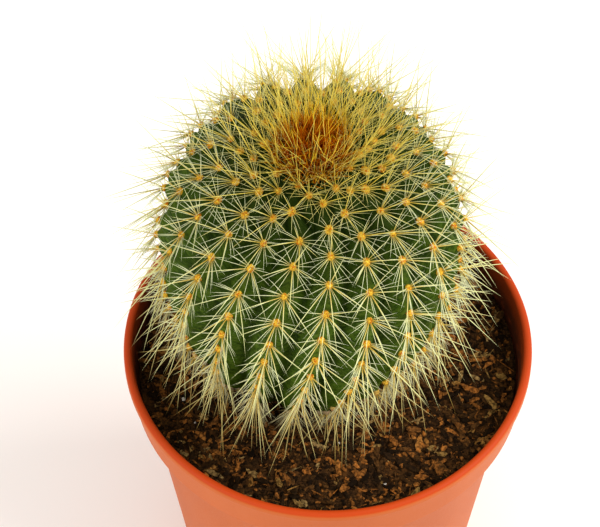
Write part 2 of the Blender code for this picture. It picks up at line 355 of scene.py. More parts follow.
bench = Finish("terracotta_plastic")
place = bench.place()
x, y, height = bench.parts(place)
flow = bench.grain(place * (1.0, 1.0, 0.12), 0.006, 3.0)
cloud = bench.grain(place, 0.03)
fine = bench.grain(place, 0.0006)
radius = bench.math("SQRT", x * x + y * y)
inside = radius.ramp(COLLAR_FOOT_RADIUS - 0.0002, COLLAR_FOOT_RADIUS - 0.0004) * (height > ledge + 0.001)
shaded_lip_top = height.ramp(POT_HEIGHT - 0.0012, POT_HEIGHT - 0.0004)
# Soil dust clings in patches to the inside of the collar, and painted shade darkens it to near black most
# of all next to the soil, in the corner between soil and wall.
dust_and_shade = inside * height.ramp(POT_HEIGHT - 0.001, SOIL_LEVEL + 0.003)
dust_and_shade = dust_and_shade * bench.grain(place, 0.003, 4.0).ramp(0.15, 0.5)
tone = bench.blend(flow, (0.46, 0.098, 0.016), (0.50, 0.112, 0.021))
tone = bench.blend(cloud.ramp(0.35, 0.65) * 0.5, tone, (0.44, 0.088, 0.012))
# Painted shade: the top of the lip is painted a darker, deeper red than the wall, though it is the same
# plastic.
tone = bench.blend(shaded_lip_top * 0.9, tone, (0.44, 0.040, 0.004))
# Painted shade: the inside of the collar is painted a darker red, for the shade inside the pot.
tone = bench.blend(inside * 0.8, tone, (0.30, 0.035, 0.006))
# Soil dust and painted shade: near black next to the soil.
tone = bench.blend(dust_and_shade * 0.85, tone, (0.035, 0.014, 0.006))
pot_plastic = bench.made(Base_Color=tone, Specular_IOR_Level=0.1,
                         Roughness=0.42 + 0.14 * fine + 0.2 * dust_and_shade,
                         Normal=bench.bump(0.12, 0.00012, fine + 0.6 * flow))
pot.data.materials.clear()
pot.data.materials.append(pot_plastic)
pot.data.shade_smooth()
pot.data.set_sharp_from_angle(angle=math.radians(40))
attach(pot, "root")
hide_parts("pot")

# ---- plant's flesh --------------------------------------------------------------------------
# The living body: an egg-shaped stem with twenty sharp ribs, and seven young ones between them
# round the crown. It leans a little, and its foot stands in a hollow in the soil.
RIBS = 20
YOUNG_RIBS = 7
ALL_RIBS = RIBS + YOUNG_RIBS
YOUNG_RIB_SHIFT = 0.06  # places the young ribs among the old ones
YOUNG_FROM, YOUNG_TO = 0.028, 0.018  # lengths from the crown over which a young rib comes up
FIRST_RIB = math.radians(12.8)
RIB_SLANT = math.radians(-155)  # turn of the ribs for each metre along them
RIB_DEPTH = 0.43  # ridge to groove, as a share of a rib's width
RIB_FADE = 0.020  # length over which the ribs die away at the soil
RIDGE_SHARPNESS = 1.35
BODY_RADIUS = 0.0427
BODY_RISE = 0.0450
BODY_DROP = 0.0690
BODY_WAIST = Vector((-0.0050, 0.0025, POT_HEIGHT + 0.0495))
BODY_LEAN = (math.radians(3.8), math.radians(3.0), 0.0)
CROWN_FLAT = 0.0095  # radius of the flat on the crown
AREOLE_STEP = 0.0088
FIRST_AREOLE = 0.0139  # length from the crown from which an odd rib's areoles are counted
CROWDED = 0.036  # length from the crown over which the areoles stand closer
CROWDING = 0.8  # their step there, as a share of the full one
STEM_COLUMNS = 18  # faces across one rib
STEM_RINGS = 176
OUTLINE_STEPS = 240

BODY_PLACE = Matrix.Translation(BODY_WAIST) @ Euler(BODY_LEAN).to_matrix().to_4x4()
CROWN_HEIGHT = math.sqrt(1 - (CROWN_FLAT / BODY_RADIUS) ** 2) * BODY_RISE  # of the flat, over the waist


def side_length(height):
    """Length along the smooth outline from the crown down to a height over the waist."""
    steps = 4000
    length, last = 0.0, (0.0, BODY_RISE)
    for step in range(1, steps + 1):
        turn = math.pi * step / steps
        reach = BODY_RISE if turn < math.pi / 2 else BODY_DROP
        here = (BODY_RADIUS * math.sin(turn), reach * math.cos(turn))
        if here[1] < height:
            break
        length += math.dist(here, last)
        last = here
    return length


SOIL_LINE = side_length(-(BODY_WAIST.z - SOIL_LEVEL) / math.cos(BODY_LEAN[1]))
FOOT_LENGTH = side_length(-BODY_DROP)


class Tree(Bench):
    """A geometry tree with named inputs, which ends in Realize Instances and Set Material."""

    KINDS = {float: "NodeSocketFloat", int: "NodeSocketInt", tuple: "NodeSocketVector"}
    ARROWS = ("out", "down", "aim", "curl", "root", "grid")  # names under which vectors are stored

    def __init__(self, name, **sizes):
        super().__init__(bpy.data.node_groups.new(name, "GeometryNodeTree"))
        panel = self.tree.interface
        panel.new_socket("Geometry", in_out="OUTPUT", socket_type="NodeSocketGeometry")
        self.values = {}
        for title, value in {"Geometry": None, **sizes, "Material": None}.items():
            kind = self.KINDS.get(type(value), f"NodeSocket{title}")
            made = panel.new_socket(title, in_out="INPUT", socket_type=kind)
            if value is not None:
                self.values[made.identifier] = value
            elif title == "Material":
                self.material = made.identifier
        entry = self.tree.nodes.new("NodeGroupInput")
        self.given = {socket.name: Wire(self, socket) for socket in entry.outputs if socket.name}

    def kind(self, name):
        """The settings of a node that stores or reads a name."""
        return {"data_type": "FLOAT_VECTOR" if name in self.ARROWS else "FLOAT"}

    def mark(self, name):
        """What is stored on each point under a name."""
        return self.add("GeometryNodeInputNamedAttribute", self.kind(name), name, out="Attribute")

    def store(self, geometry, **values):
        """Stores values on each point under their names."""
        for name, value in values.items():
            geometry = self.add("GeometryNodeStoreNamedAttribute", self.kind(name),
                                geometry, None, name, value)
        return geometry

    def place(self):
        """Where each point is."""
        return self.add("GeometryNodeInputPosition")

    def number(self):
        """Each point's number, from 0."""
        return self.add("GeometryNodeInputIndex")

    def move(self, geometry, to=None, by=None, where=None):
        """Sets the points on new places, or moves them by a vector."""
        return self.add("GeometryNodeSetPosition", None, geometry, where, to, by)

    def smooth(self, geometry):
        """Shades the faces smooth."""
        return self.add("GeometryNodeSetShadeSmooth", None, geometry)

    def realize(self, geometry):
        """Makes the instances plain mesh."""
        return self.add("GeometryNodeRealizeInstances", None, geometry)

    def chance(self, seed, low, high):
        """A random number for each point, or a random vector between two vectors."""
        kind = {"data_type": "FLOAT_VECTOR" if isinstance(low, tuple) else "FLOAT"}
        return self.add("FunctionNodeRandomValue", kind, low, high, Seed=seed)

    def end(self, geometry):
        """Makes a geometry the tree's result."""
        geometry = self.realize(geometry)
        geometry = self.add("GeometryNodeSetMaterial", None, geometry, Material=self.given["Material"])
        self.tree.links.new(geometry.socket, self.tree.nodes.new("NodeGroupOutput").inputs[0])

    def grow(self, name, material=None, start=None):
        """The tree's result on a start mesh, as an object of plain mesh."""
        made = shown(name, start.copy() if start else bpy.data.meshes.new(name))
        step = made.modifiers.new("grow", "NODES")
        step.node_group = self.tree
        for identifier, value in self.values.items():
            step[identifier] = value
        step[self.material] = material
        settled(made)
        return made


def on_rib(tree, rib, over, along):
    """Where a length along a rib is, and its outward and downward directions.

    After these come the rib's depth and its share of its full width there, the length at which
    its areoles are counted from, and how much of it the soil has left. Over runs from -1 in one
    groove to 0 on the ridge and 1 in the next groove.
    """
    young = along.ramp(YOUNG_FROM, YOUNG_TO)
    before = tree.math("FLOOR", rib * (YOUNG_RIBS / ALL_RIBS) + YOUNG_RIB_SHIFT)
    is_young = tree.math("FLOOR", (rib + 1.0) * (YOUNG_RIBS / ALL_RIBS) + YOUNG_RIB_SHIFT) - before
    width = 1.0 - is_young + is_young * young
    whole = RIBS + YOUNG_RIBS * young
    strips = rib - before + young * before + width * (over + 1.0) / 2
    turn = (FIRST_RIB - math.pi / RIBS) + math.tau * strips / whole + RIB_SLANT * along
    # The smooth outline, as a curve that is read by its length.
    angle = tree.number() * (math.pi / OUTLINE_STEPS)
    low = (angle > math.pi / 2) * (BODY_DROP - BODY_RISE)
    stop = tree.vector(BODY_RADIUS * tree.math("SINE", angle), 0.0,
                       (BODY_RISE + low) * tree.math("COSINE", angle))
    line = tree.move(tree.add("GeometryNodeMeshLine", None, OUTLINE_STEPS + 1), stop)
    line = tree.add("GeometryNodeMeshToCurve", None, line)
    spot, course = tree.add("GeometryNodeSampleCurve", {"mode": "LENGTH", "use_all_curves": True}, line,
                            Length=along, out=("Position", "Tangent"))
    radius, _, height = tree.parts(spot)
    spread, _, climb = tree.parts(course)
    cosine, sine = tree.math("COSINE", turn), tree.math("SINE", turn)
    out = tree.vector(-climb * cosine, -climb * sine, spread)
    down = tree.vector(spread * cosine, spread * sine, climb)
    place = tree.vector(radius * cosine, radius * sine, tree.math("MINIMUM", height, CROWN_HEIGHT))
    fade = ((SOIL_LINE - along) / RIB_FADE).ramp(0.0, 1.0)
    depth = RIB_DEPTH * math.tau * radius / whole * fade
    is_odd = tree.math("FLOORED_MODULO", rib - before, 2.0)
    first = FIRST_AREOLE + AREOLE_STEP / 2 * (1.0 - is_odd) - is_young * AREOLE_STEP / 4
    return place, out, down, depth, width, first, fade


def leaned(tree, vector):
    """A vector of the upright body, in the leaning one."""
    return tree.add("ShaderNodeVectorRotate", {"rotation_type": "EULER_XYZ"}, vector, Rotation=BODY_LEAN)


def raised(tree, place, out, sink):
    """A place in the leaning body, moved in along its normal and set on its waist."""
    return leaned(tree, place - out * sink) + tuple(BODY_WAIST)


tree = Tree("ribbed_stem", Columns=STEM_COLUMNS * ALL_RIBS + 1, Rings=STEM_RINGS, Notch=0.0011,
            Swelling=0.0005, Slant=0.30)
given = tree.given
sheet = tree.add("GeometryNodeMeshGrid", None, 1.0, 1.0, given["Columns"], given["Rings"], out="Mesh")
u, v, _ = tree.parts(tree.place())
strip = (u + 0.5) * ALL_RIBS
rib = tree.math("MINIMUM", tree.math("FLOOR", strip + 0.0005), ALL_RIBS - 1.0)
over = 2.0 * (strip - rib) - 1.0
along = (v + 0.5) * FOOT_LENGTH
place, out, _, depth, width, first, fade = on_rib(tree, rib, over, along)
slope = tree.math("ABSOLUTE", over)
flank = 1.0 - slope ** RIDGE_SHARPNESS
# The ridge swells under each areole and dips between two. Even is a length in which they all
# stand a full step apart.
even = CROWDED + (along - CROWDED) * (1.0 + (along < CROWDED) * (1 / CROWDING - 1))
beat = tree.math("COSINE", math.tau * (even - first - given["Slant"] * AREOLE_STEP * slope) / AREOLE_STEP)
crest = (1.0 - slope) ** 1.5 * width * fade
sink = depth * (1.0 - width * flank)
sink = sink + crest * (given["Notch"] * (0.5 - 0.5 * beat) - given["Swelling"] * (0.5 + 0.5 * beat))
# Slope and along are stored on the flat sheet, because they are read from its places.
surface = tree.store(sheet, slope=1.0 - width * (1.0 - slope), along=along)
surface = tree.move(surface, raised(tree, place, out, sink))
surface = tree.add("GeometryNodeMergeByDistance", None, surface, Distance=0.000004)
tree.end(tree.smooth(surface))

bench = Finish("cactus_flesh")
place = bench.place()
slope, along = bench.mark("slope"), bench.mark("along")
cloud = bench.grain(place, 0.006, 3.0)
speck = bench.grain(place, 0.0011, 3.0, 0.6)
pore = bench.grain(place, 0.0004)
# Fine folds run down from the ridge to the groove on both sides, at a slant. Their hollows are painted
# darker and their crests lighter: painted shade and painted highlight that follow the folds' bump.
fold = bench.grain(bench.vector(along - 0.006 * slope, 0.002 * slope, 0.0), 0.0007)
tone = bench.blend(cloud.ramp(0.3, 0.7), (0.022, 0.047, 0.001), (0.044, 0.088, 0.004))
tone = bench.blend(speck.ramp(0.48, 0.70) * 0.5, tone, (0.095, 0.140, 0.018))
tone = bench.blend(speck.ramp(0.46, 0.30) * 0.6, tone, (0.008, 0.018, 0.001))
# Painted highlight: the ridges are painted lighter.
tone = bench.blend(slope.ramp(0.35, 0.0) * 0.4, tone, (0.080, 0.110, 0.008))
# Painted shade: the flesh is painted near black towards the crown, under its dense brush and young
# spines.
tone = bench.blend(along.ramp(0.064, 0.022) * 0.85, tone, (0.009, 0.018, 0.0005))
# Painted shade: the grooves are painted near black.
tone = bench.blend(slope.ramp(0.55, 1.0) * 0.6, tone, (0.006, 0.015, 0.001))
# Painted shade in the folds' hollows, and a painted highlight on their crests away from the crown.
tone = bench.blend(fold.ramp(0.47, 0.33) * 0.65, tone, (0.009, 0.022, 0.001))
tone = bench.blend(fold.ramp(0.53, 0.68) * along.ramp(0.020, 0.060) * 0.5, tone, (0.085, 0.135, 0.012))
tone = bench.blend(along.ramp(SOIL_LINE - 0.02, SOIL_LINE) * 0.8, tone, (0.06, 0.045, 0.015))
flesh_skin = bench.made(Base_Color=tone, Specular_IOR_Level=0.04, Roughness=0.48 + 0.18 * speck,
                        Normal=bench.bump(0.7, 0.0004, 0.7 * speck + 0.4 * pore + 1.3 * fold))
flesh = tree.grow("cactus_flesh", flesh_skin)
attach(flesh, "root")
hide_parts("cactus")

# ---- areoles --------------------------------------------------------------------------------
# The small woolly cushions that the spines grow from, one to each swelling of a rib. They are
# grown wool, golden with rusty patches when young and grey when old.
AREOLE_ROWS = 17
ROWS_ABOVE = 2.0  # rows above the one that is counted from, where there is room
TOP_AREOLE = 0.0075  # least length from the crown to an areole
LEAST_RIB = 0.55  # a young rib's share of its full width where it has its first areole
tree = Tree("areole_places", Rows=AREOLE_ROWS, Last=SOIL_LINE - 0.004, Sink=0.0002)
number = tree.number()
line = tree.add("GeometryNodeMeshLine", None, tree.given["Rows"] * ALL_RIBS)
row = tree.math("FLOOR", (number + 0.5) / ALL_RIBS)
rib = number - row * ALL_RIBS
# Over is nought on the ridge, and the length is nought at the crown. Where a rib's areoles are
# counted from is the same all along it, so it is read at the crown.
ridge = crown = number * 0.0
first = on_rib(tree, rib, ridge, crown)[5]
even = first + (row - ROWS_ABOVE) * AREOLE_STEP
along = CROWDED + (even - CROWDED) * (1.0 - (even < CROWDED) * (1 - CROWDING))
place, out, down, _, width, _, _ = on_rib(tree, rib, ridge, along)
spots = tree.move(line, raised(tree, place, out, tree.given["Sink"]))
spots = tree.store(spots, out=leaned(tree, out), down=leaned(tree, down), age=along / SOIL_LINE,
                   width=width)
length = tree.mark("age") * SOIL_LINE
lost = (length > tree.given["Last"]) + (tree.mark("width") < LEAST_RIB) + (length < TOP_AREOLE)
spots = tree.add("GeometryNodeDeleteGeometry", {"domain": "POINT"}, spots, lost)
tree.end(spots)
areoles = tree.grow("areole_places")
areole_spots = areoles.data
bpy.data.objects.remove(areoles)

tree = Tree("areole_pads", Width=0.00102, Thickness=0.0010, Rise=0.0004, Roughness=0.0010, Seed=3)
ball = tree.add("GeometryNodeMeshIcoSphere", None, 1.0, 2, out="Mesh")
turn = tree.add("FunctionNodeAlignRotationToVector", {"axis": "Z"}, None, 1.0, tree.mark("out"))
turn = tree.add("FunctionNodeAlignRotationToVector", {"axis": "X", "pivot_axis": "Z"}, turn, 1.0,
                tree.mark("down"))
size = tree.chance(tree.given["Seed"], 0.85, 1.15) * (0.75 + 0.25 * tree.mark("age").ramp(0.0, 0.12))
wide = tree.given["Width"] * size
spots = tree.move(tree.given["Geometry"], by=tree.mark("out") * tree.given["Rise"])
pads = tree.add("GeometryNodeInstanceOnPoints", None, spots, Instance=ball, Rotation=turn,
                Scale=tree.vector(wide * 1.2, wide, tree.given["Thickness"]))
pads = tree.realize(pads)
rough = tree.grain(tree.place(), 0.0005, out="Color")
pads = tree.move(pads, by=(rough - 0.5) * tree.given["Roughness"])
tree.end(tree.smooth(pads))

bench = Finish("areole_wool")
place = bench.place()
fibre = bench.grain(place, 0.0003)
rust = bench.grain(place, 0.0007, 1.0)
tone = bench.blend(fibre.ramp(0.3, 0.7), (0.46, 0.20, 0.006), (0.82, 0.56, 0.06))
tone = bench.blend(rust.ramp(0.53, 0.62) * 0.8, tone, (0.46, 0.085, 0.003))
tone = bench.blend(bench.mark("age").ramp(0.66, 0.90) * 0.85, tone, (0.34, 0.28, 0.18))
wool = bench.made(Base_Color=tone, Roughness=0.95, Specular_IOR_Level=0.05,
                  Normal=bench.bump(0.8, 0.0002, fibre))
pads = tree.grow("areole_pads", wool, areole_spots)
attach(pads, "root")
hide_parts("cactus")

# ---- radial spines --------------------------------------------------------------------------
# Thin, straight, straw-white spines that lie in a fan round each areole, all round when young
# and to the sides and downward when old. They are hardened horn, rooted in the wool.
OFF_AXIS = (0.013, 0.007, 0.011)  # gives a side to a spine that stands straight out too
LYING_DEPTH = 0.0022  # how far the spines that lie on the soil are spread in height


def grow_spines(name, material, start, segments=3, sides=3, **sizes):
    """Spines that fan out from each start point, by its out, down and age marks."""
    tree = Tree(name, **{
        "Count": 18, "Length": 0.008, "Young Length": 1.0, "Old Length": 1.0, "Length Scatter": 0.2,
        "Thickness": 0.00015, "Young Thickness": 1.0, "Spread": 300.0, "Old Spread": 300.0,
        "Turn": 0.0, "Old Turn": 0.0, "Turn Scatter": 8.0, "Lean": 70.0, "Young Lean": 30.0,
        "Old Lean": 70.0, "Lean Scatter": 10.0, "Young Age": 0.22, "Upward": 1.0, "Kept": 1.0,
        "Old Kept": 1.0, "Root": 0.0006, "Lift": 0.0, "Sag": 0.06, "Curl": 0.05,
        "Floor": SOIL_LEVEL + 0.0012, "Wall": WALL_TOP_RADIUS - 0.001, "Seed": 11, **sizes})
    given = tree.given
    spots, number = tree.add("GeometryNodeDuplicateElements", {"domain": "POINT"}, given["Geometry"],
                             None, given["Count"], out=("Geometry", "Duplicate Index"))
    # Age runs from 0 at the crown to 1 at the soil.
    out, down, age = tree.mark("out"), tree.mark("down"), tree.mark("age")
    aged = age.ramp(0.20, 0.68)

    def roll(step, low=-1.0, high=1.0):
        """One of a spine's own random numbers."""
        return tree.chance(given["Seed"] + step, low, high)

    def grown(title):
        """A size that goes from its value on the crown to its old value at the foot."""
        return given[title] + (given["Old " + title] - given[title]) * aged

    # Some are broken off.
    lost = roll(6, 0.0, 1.0) > grown("Kept")
    spots = tree.add("GeometryNodeDeleteGeometry", {"domain": "POINT"}, spots, lost)
    share = (number + 0.5) / given["Count"] - 0.5
    turn = (share * grown("Spread") + grown("Turn") + roll(1) * given["Turn Scatter"]) * (math.pi / 180)
    side = tree.arrow("CROSS_PRODUCT", out, down)
    across = down * tree.math("COSINE", turn) + side * tree.math("SINE", turn)
    lean = given["Young Lean"] + (grown("Lean") - given["Young Lean"]) * age.ramp(0.12, 0.34)
    lean = (lean + roll(2) * given["Lean Scatter"]) * (math.pi / 180)
    aim = out * tree.math("COSINE", lean) + across * tree.math("SINE", lean)
    length = given["Length"] * (1.0 + roll(3) * given["Length Scatter"])
    length = length * (1.0 + (given["Young Length"] - 1.0) * (age / given["Young Age"]).ramp(1.0, 0.3))
    length = length * (1.0 + (given["Old Length"] - 1.0) * age.ramp(0.6, 0.9))
    length = length * (1.0 + (given["Upward"] - 1.0) * (0.5 - 0.5 * tree.math("COSINE", turn)) * aged)
    spin = tree.chance(given["Seed"] + 4, (-1.0, -1.0, -1.0), (1.0, 1.0, 1.0))
    curl = (down * given["Sag"] + spin * given["Curl"]) * length
    spots = tree.store(spots, aim=aim * length, curl=curl, lot=roll(5, 0.0, 1.0))
    spots = tree.move(spots, by=across * given["Root"] + out * given["Lift"])
    spots = tree.store(spots, root=tree.place())
    # Each spine is a cone, whose own points are then laid along its bent line.
    cone = tree.add("GeometryNodeMeshCone", {"fill_type": "NGON"}, sides, segments, 1, 0.0, 1.0, 1.0,
                    out="Mesh")
    cone = tree.store(cone, grid=tree.place())
    spines = tree.realize(tree.add("GeometryNodeInstanceOnPoints", None, spots, Instance=cone))
    x, y, rise = tree.parts(tree.mark("grid"))
    aim, lot, young = tree.mark("aim"), tree.mark("lot"), given["Young Thickness"]
    side = tree.arrow("NORMALIZE", tree.arrow("CROSS_PRODUCT", aim, tree.mark("out") + OFF_AXIS))
    top = tree.arrow("NORMALIZE", tree.arrow("CROSS_PRODUCT", aim, side))
    thick = given["Thickness"] * (0.8 + 0.4 * lot) * (1.0 + rise)
    thick = thick * (young + (1.0 - young) * tree.mark("age").ramp(0.1, 0.45))
    bent = tree.mark("root") + aim * rise + tree.mark("curl") * (rise * rise)
    x, y, z = tree.parts(bent + (side * x + top * y) * thick)
    # What would dip into the soil lies on it, and what would reach the pot's wall under its rim
    # stands short of it.
    z = tree.math("MAXIMUM", z, given["Floor"] + LYING_DEPTH * lot)
    held = tree.math("MINIMUM", 1.0, given["Wall"] / tree.math("SQRT", x * x + y * y))
    held = 1.0 + (held - 1.0) * z.ramp(POT_HEIGHT + 0.003, POT_HEIGHT + 0.001)
    spines = tree.move(spines, tree.vector(x * held, y * held, z))
    spines = tree.store(spines, rise=rise)
    for used in ("aim", "curl", "root", "grid", "out", "down", "width"):
        spines = tree.add("GeometryNodeRemoveAttribute", None, spines, used)
    tree.end(tree.smooth(spines))
    return tree.grow(name, material, start)


def horn(name, root, shaft, tip, old, young, young_until):
    """A spine's finish: root, shaft and tip colours, deeper up to an age, and when old partly weathered
    and partly darkened by painted shade near the soil.
    """
    bench = Finish(name)
    rise, age, lot = bench.mark("rise"), bench.mark("age"), bench.mark("lot")
    tone = bench.blend(rise.ramp(0.02, 0.48), root, shaft)
    tone = bench.blend(rise.ramp(0.7, 1.0), tone, tip)
    tone = bench.blend(age.ramp(young_until, 0.10) * 0.85, tone, young)
    # The old colour is partly real weathering and partly painted shade on the spines at the foot, near
    # the soil, most towards their tips.
    tone = bench.blend(age.ramp(0.46, 0.76) * (0.32 + 0.25 * lot + 0.5 * rise), tone, old)
    tone = bench.blend(0.2 * lot, tone, (0.26, 0.22, 0.03))
    band = bench.grain(bench.place(), 0.0012)
    return bench.made(Base_Color=tone, Specular_IOR_Level=0.08, Roughness=0.45 + 0.15 * band)


radial_horn = horn("radial_spine", (0.74, 0.62, 0.18), (0.83, 0.87, 0.53), (0.87, 0.90, 0.62),
                   (0.38, 0.29, 0.13), (0.82, 0.70, 0.14), 0.22)
radials = grow_spines("radial_spines", radial_horn, areole_spots, **{
    "Count": 17, "Length": 0.0094, "Thickness": 0.00012, "Young Thickness": 0.58, "Spread": 330.0,
    "Old Spread": 140.0, "Turn Scatter": 7.0, "Lean": 66.0, "Young Lean": 36.0, "Old Lean": 52.0,
    "Lean Scatter": 13.0, "Upward": 0.45, "Old Kept": 0.70, "Root": 0.0004, "Lift": 0.0005})
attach(radials, "root")
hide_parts("cactus")

# ---- areole felt ----------------------------------------------------------------------------
# Short hairs of the areoles' wool that stand out of the cushions on all sides. They are much
# finer than the spines, and longest on the old areoles at the foot.
felt = grow_spines("areole_felt", wool, areole_spots, segments=1, **{
    "Count": 22, "Length": 0.0013, "Old Length": 2.6, "Length Scatter": 0.35, "Thickness": 0.00005,
    "Spread": 360.0, "Old Spread": 360.0, "Turn Scatter": 40.0, "Lean": 48.0, "Young Lean": 40.0,
    "Old Lean": 48.0, "Lean Scatter": 36.0, "Root": 0.0004, "Seed": 151})
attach(felt, "root")
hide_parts("cactus")

# ---- central spines -------------------------------------------------------------------------
# Four stouter yellow spines from the middle of each areole. They are hardened horn too: young
# ones stand up on all four sides, and old ones point outward and down.
central_horn = horn("central_spine", (0.64, 0.42, 0.05), (0.73, 0.74, 0.35), (0.74, 0.74, 0.37),
                    (0.34, 0.20, 0.042), (0.80, 0.62, 0.06), 0.30)
centrals = grow_spines("central_spines", central_horn, areole_spots, segments=5, sides=4, **{
    "Count": 4, "Length": 0.0182, "Young Length": 1.1, "Old Length": 1.2, "Length Scatter": 0.32,
    "Thickness": 0.00017, "Young Thickness": 0.62, "Spread": 360.0, "Old Spread": 90.0, "Turn": 45.0,
    "Turn Scatter": 20.0, "Lean": 44.0, "Young Lean": 15.0, "Old Lean": 50.0, "Lean Scatter": 13.0,
    "Upward": 0.6, "Root": 0.0002, "Lift": 0.0008, "Sag": 0.05, "Seed": 31})
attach(centrals, "root")
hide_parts("cactus")

# ---- crown ----------------------------------------------------------------------------------
# The growing point: a low cushion of wool with a dense brush of young bristles on it, short
# orange-brown ones, and longer golden ones that rise out of them. The whole brush tips forward.
TUFT_RADIUS = 0.0070
TUFT_HEIGHT = 0.0034
TUFT_PLACE = Vector((-0.0012, -0.0018, 0.0))  # from the plant's axis
BRUSH_LEFT, BRUSH_FORWARD = 0.0006, 0.0018  # of the cushion's middle
BRUSH_SINK = 0.0014  # of the bristles' roots in the cushion
CUSHION_SINK = 0.0003
CUSHION_SPREAD = 1.15  # radius of its foot, as a share of the tuft's
GOLDEN_ANGLE = math.pi * (3 - math.sqrt(5))
tree = Tree("crown_places", Count=560, Radius=TUFT_RADIUS * 1.4, Height=TUFT_HEIGHT,
            Tilt=(-0.06, -0.20, 0.0))
given = tree.given
line = tree.add("GeometryNodeMeshLine", None, given["Count"])
number = tree.number()
share = ((number + 0.5) / given["Count"]) ** 0.68
turn = number * GOLDEN_ANGLE
spoke = tree.vector(tree.math("COSINE", turn), tree.math("SINE", turn), 0.0)
lean = (2.0 + 22.0 * share ** 1.7) * (math.pi / 180)
cosine, sine = tree.math("COSINE", lean), tree.math("SINE", lean)
dome = tree.math("SQRT", tree.math("MAXIMUM", 0.02, 1.0 - share * share * 1.7))
seat = tree.vector(TUFT_PLACE.x - BRUSH_LEFT, TUFT_PLACE.y - BRUSH_FORWARD,
                   CROWN_HEIGHT - BRUSH_SINK + given["Height"] * dome)
place = spoke * (share * given["Radius"]) + seat
out = tree.arrow("NORMALIZE", spoke * sine + tree.vector(0.0, 0.0, cosine) + given["Tilt"])
down = spoke * cosine - tree.vector(0.0, 0.0, sine)
# The age of a bristle is its share of the way from the middle of the brush to its edge.
spots = tree.move(line, raised(tree, place, out, 0.0))
spots = tree.store(spots, out=leaned(tree, out), down=leaned(tree, down), age=share)
tree.end(spots)
places = tree.grow("crown_places")
crown_spots = places.data
bpy.data.objects.remove(places)


def bristle(name, root, tip, edge_root, edge_tip, low, high):
    """A bristle's finish: its colours in the middle of the brush and at its edge, root and tip. The dark
    roots are partly the bristles' own colour and partly painted shade deep in the dense brush.
    """
    bench = Finish(name)
    rise, lot = bench.mark("rise").ramp(low, high), bench.mark("lot")
    edge = bench.mark("age").ramp(0.62, 0.95)
    # Dark roots, darkest in the middle of the brush: partly the bristles' own colour, partly painted
    # shade inside the brush.
    tone = bench.blend(edge, bench.blend(rise, root, tip), bench.blend(rise, edge_root, edge_tip))
    tone = bench.blend(lot.ramp(0.75, 1.0) * 0.5 * rise, tone, edge_tip)
    return bench.made(Base_Color=tone, Specular_IOR_Level=0.0, Roughness=0.5)


short_bristle = bristle("short_bristle", (0.32, 0.034, 0.0004), (0.60, 0.17, 0.002), (0.48, 0.15, 0.001),
                        (0.70, 0.42, 0.015), 0.3, 1.0)
bristles = grow_spines("crown_bristles", short_bristle, crown_spots, segments=4, sides=3, **{
    "Count": 2, "Length": 0.0084, "Old Length": 0.8, "Length Scatter": 0.35, "Thickness": 0.00014,
    "Spread": 360.0, "Old Spread": 360.0, "Turn Scatter": 180.0, "Lean": 8.0, "Old Lean": 12.0,
    "Lean Scatter": 12.0, "Root": 0.0003, "Sag": -0.08, "Curl": 0.14, "Seed": 51})
long_bristle = bristle("long_bristle", (0.36, 0.060, 0.001), (0.80, 0.56, 0.03), (0.40, 0.11, 0.002),
                       (0.80, 0.60, 0.05), 0.35, 0.75)
awns = grow_spines("crown_awns", long_bristle, crown_spots, segments=5, sides=3, **{
    "Count": 1, "Length": 0.0180, "Old Length": 0.75, "Length Scatter": 0.30, "Thickness": 0.00012,
    "Spread": 360.0, "Old Spread": 360.0, "Turn Scatter": 180.0, "Lean": 4.0, "Old Lean": 4.0,
    "Lean Scatter": 9.0, "Kept": 0.34, "Old Kept": 0.30, "Root": 0.0003, "Sag": -0.05, "Curl": 0.10,
    "Seed": 171})

seat = CROWN_HEIGHT - CUSHION_SINK
turns = [math.radians(step) for step in range(0, 90, 6)]
cushion_profile = [(0.0, seat)]
cushion_profile += [(TUFT_RADIUS * CUSHION_SPREAD * math.cos(turn), seat + TUFT_HEIGHT * math.sin(turn))
                    for turn in turns]
cushion_profile += [(0.0, seat + TUFT_HEIGHT)]
cushion = turned("crown_cushion", cushion_profile, 64)
cushion.data.transform(BODY_PLACE @ Matrix.Translation(TUFT_PLACE))
bench = Finish("crown_wool")
fibre = bench.grain(bench.place(), 0.0005, 3.0)
tone = bench.blend(fibre, (0.18, 0.040, 0.001), (0.44, 0.17, 0.006))
cushion.data.materials.append(bench.made(Base_Color=tone, Roughness=0.95, Specular_IOR_Level=0.0,
                                         Normal=bench.bump(0.9, 0.0004, fibre)))
cushion.data.shade_smooth()
for tuft in (bristles, awns, cushion):
    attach(tuft, "root")
    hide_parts("crown_tuft")

# ---- potting soil ---------------------------------------------------------------------------
# Dark peat that fills the pot to a little under its rim, with a hollow for the plant's foot.
# Its top is crumbly, and it lies loose against the wall.
GAP = 0.0003  # left between pieces that touch
SOIL_SIDES = 288
SOIL_RINGS = 110
CALM_EDGE = 0.005  # width next to the wall over which the soil lies flatter
soil_edge = COLLAR_FOOT_RADIUS - POT_WALL - 2 * GAP
soil_profile = [(soil_edge * ring / SOIL_RINGS, SOIL_LEVEL) for ring in range(SOIL_RINGS + 1)]
soil_profile += [
    (soil_edge, ledge + POT_WALL + GAP),
    (WALL_TOP_RADIUS - POT_WALL - GAP, ledge + POT_WALL + GAP),
    (POT_FOOT_RADIUS - POT_WALL - GAP, POT_FLOOR + FOOT_ROUND + GAP),
    (POT_FOOT_RADIUS - POT_WALL - FOOT_ROUND - GAP, POT_FLOOR + GAP),
    (0.0, POT_FLOOR + GAP),
]
block = turned("soil_block", soil_profile, SOIL_SIDES)
tree = Tree("soil_relief", Relief=0.0013, Crumb=0.0010)
here = tree.place()
x, y, z = tree.parts(here)
from_edge = ((soil_edge - tree.math("SQRT", x * x + y * y)) / CALM_EDGE).ramp(0.0, 1.0)
lump = (tree.grain(here, 0.013) - 0.5) * 3.0 * tree.given["Relief"]
